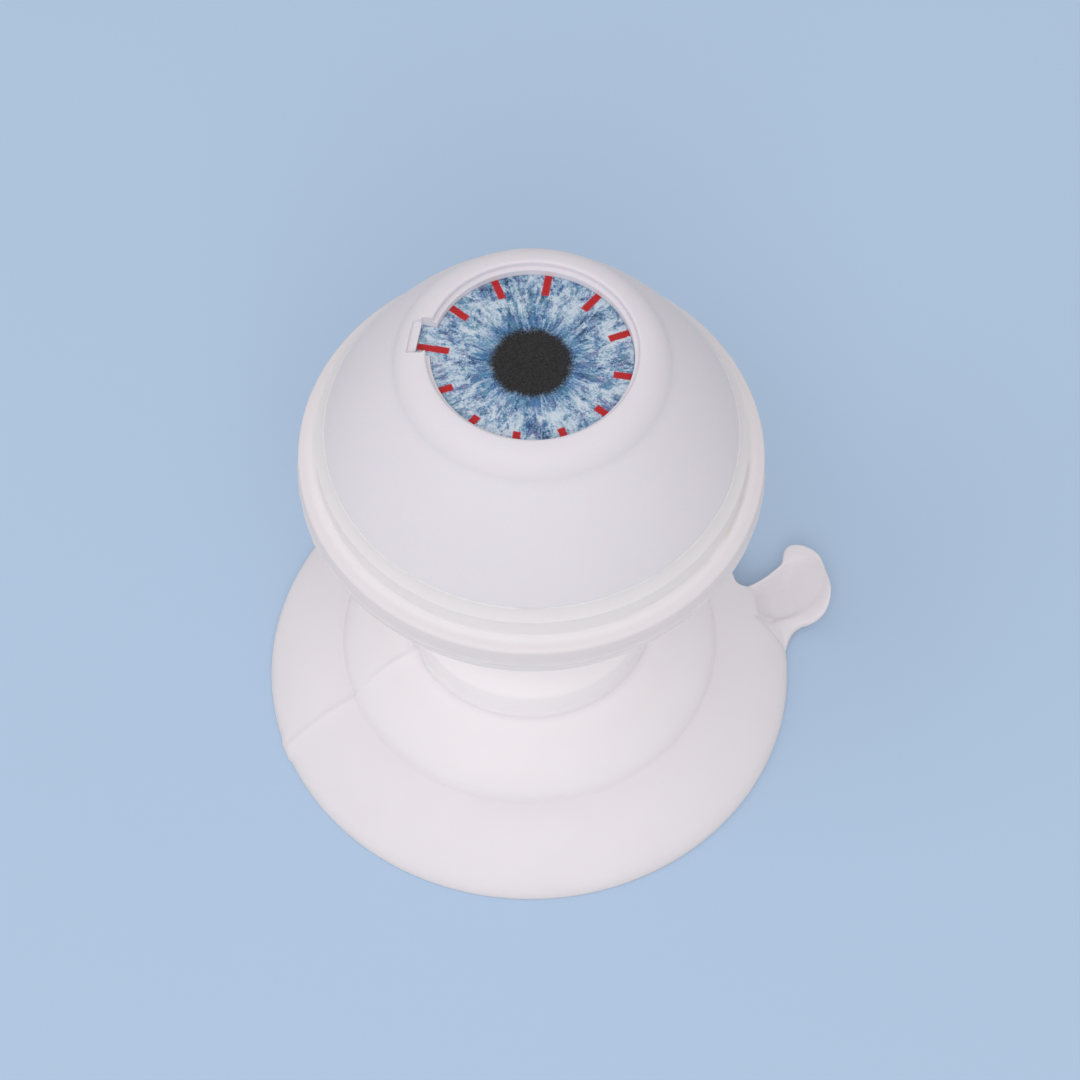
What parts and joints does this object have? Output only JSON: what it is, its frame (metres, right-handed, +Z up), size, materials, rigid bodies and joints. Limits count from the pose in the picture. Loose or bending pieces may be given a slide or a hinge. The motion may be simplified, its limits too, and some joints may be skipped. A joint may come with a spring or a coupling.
{
  "type": "practice eye model",
  "caption": "Life-size hard practice eye with a keyed, printed iris disc, held in a flexible cup on a suction foot with a release tab.",
  "frame": {"origin": "centre of the overall box on the table plane; the eye's axis stands 1.7 mm from it towards -X because the release tab lengthens the +X side", "axes": "+Z up, the way the eye looks; +X towards the release tab; +Y completes the frame"},
  "size_m": [0.0364, 0.033, 0.036],
  "materials": {
    "silicone": "satin, slightly translucent white silicone",
    "hard_shell": "matte lilac-white moulded plastic",
    "inner_plastic": "matte white moulded plastic",
    "seal_rubber": "matte black rubber",
    "iris_print": "printed card",
    "brass": "machined",
    "steel": "zinc plated"
  },
  "bodies": {
    "foot": {"suction_cup": "silicone"},
    "tab": {"release_tab": "silicone"},
    "holder": {"threaded_insert": "brass", "holder_cup": "silicone", "holder_washer": "steel", "holder_screw": "steel"},
    "eye": {"rear_shell": "inner_plastic", "seal_ring": "seal_rubber", "iris_carrier": "inner_plastic"},
    "front": {"front_shell": "hard_shell"},
    "iris": {"iris_disc": "iris_print"}
  },
  "joints": [
    {"name": "suction_press", "type": "slide", "parent": "foot", "child": "holder", "axis": [0, 0, 1], "range_m": [-0.0015, 0], "stiffness_N_per_m": 4000, "deforming": ["suction_cup"]},
    {"name": "tab_lift", "type": "hinge", "parent": "foot", "child": "tab", "pos_m": [0.01333, 0, 0.0007], "axis": [0, -1, 0], "range_deg": [0, 50], "stiffness_Nm_per_rad": 0.002},
    {"name": "eye_turn", "type": "hinge", "parent": "holder", "child": "eye", "pos_m": [-0.00167, 0, 0.02], "axis": [0, 0, 1], "continuous": true},
    {"name": "front_shell_lift", "type": "slide", "parent": "eye", "child": "front", "axis": [0, 0, 1], "range_m": [0, 0.014]},
    {"name": "iris_disc_lift", "type": "slide", "parent": "eye", "child": "iris", "axis": [0, 0, 1], "range_m": [0, 0.008]}
  ]
}
